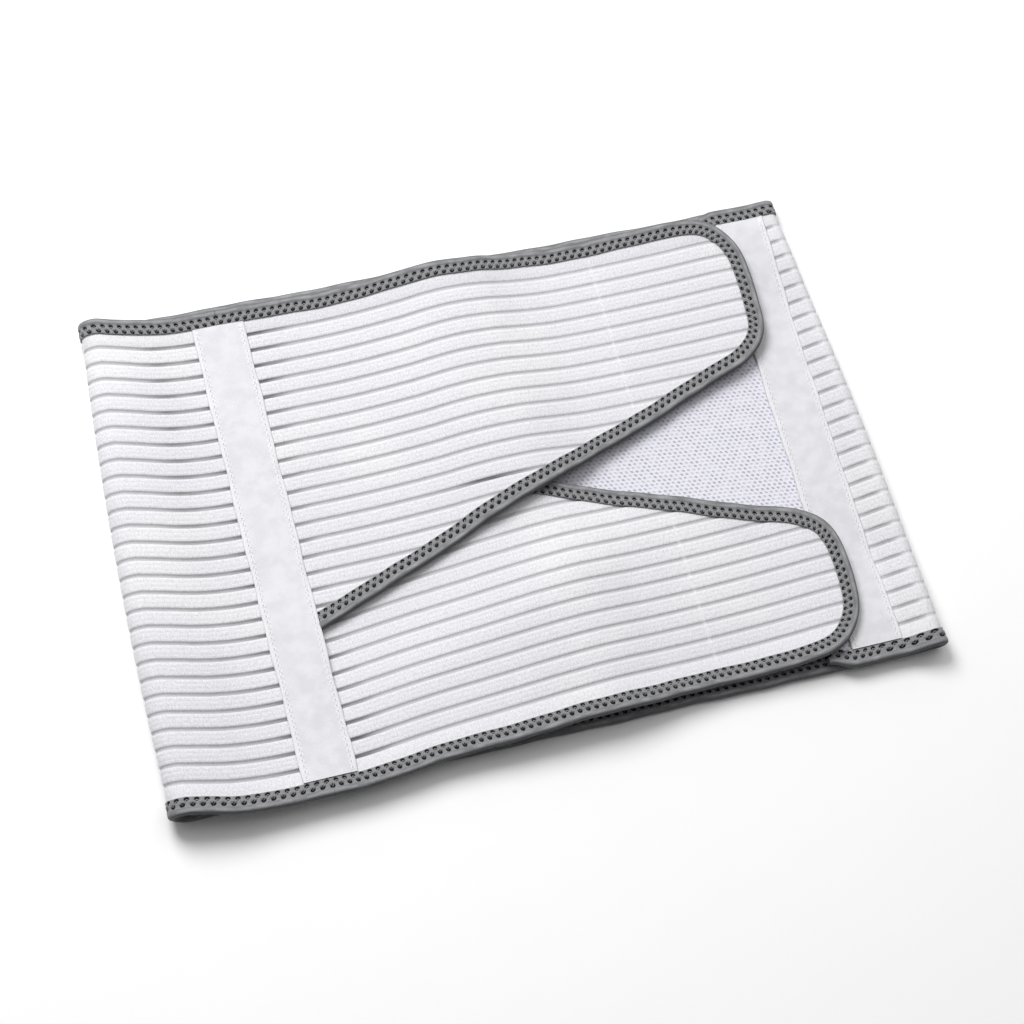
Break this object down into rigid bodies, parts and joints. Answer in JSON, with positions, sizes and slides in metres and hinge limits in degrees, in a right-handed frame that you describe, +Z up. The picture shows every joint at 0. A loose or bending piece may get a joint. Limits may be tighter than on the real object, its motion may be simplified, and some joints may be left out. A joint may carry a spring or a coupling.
{
  "type": "abdominal binder",
  "caption": "Ribbed elastic abdominal binder closed into a flat loop, with two slanted front tabs hooked over a soft loop panel, knit edge bindings and woven seam tapes.",
  "frame": {"origin": "middle of the resting face, below the middle of the bounding box", "axes": "+X along the band, from its left fold towards its right fold past the loop panel; +Y across the band's height, towards the upper tab; +Z up from the resting face"},
  "size_m": [0.3732, 0.2488, 0.0208],
  "materials": {
    "ribbed_elastic": "matte white knit elastic with flat ribs and light grey sheer grooves",
    "woven_tape": "matte cool white woven tape with a stitch line near each edge",
    "loop_knit": "matte brushed loop knit with small staggered dimples",
    "hook_tape": "slightly glossy moulded hook tape",
    "binding_knit": "matte grey folded knit binding with two rows of cover stitch"
  },
  "bodies": {
    "root": {"body_panel": "ribbed_elastic", "upper_tab": "ribbed_elastic", "lower_tab": "ribbed_elastic", "loop_panel": "loop_knit", "left_tape": "woven_tape", "right_tape": "woven_tape", "body_top_binding": "binding_knit", "body_bottom_binding": "binding_knit", "upper_tab_binding": "binding_knit", "lower_tab_binding": "binding_knit", "upper_hook_pad": "hook_tape", "lower_hook_pad": "hook_tape"}
  },
  "joints": []
}
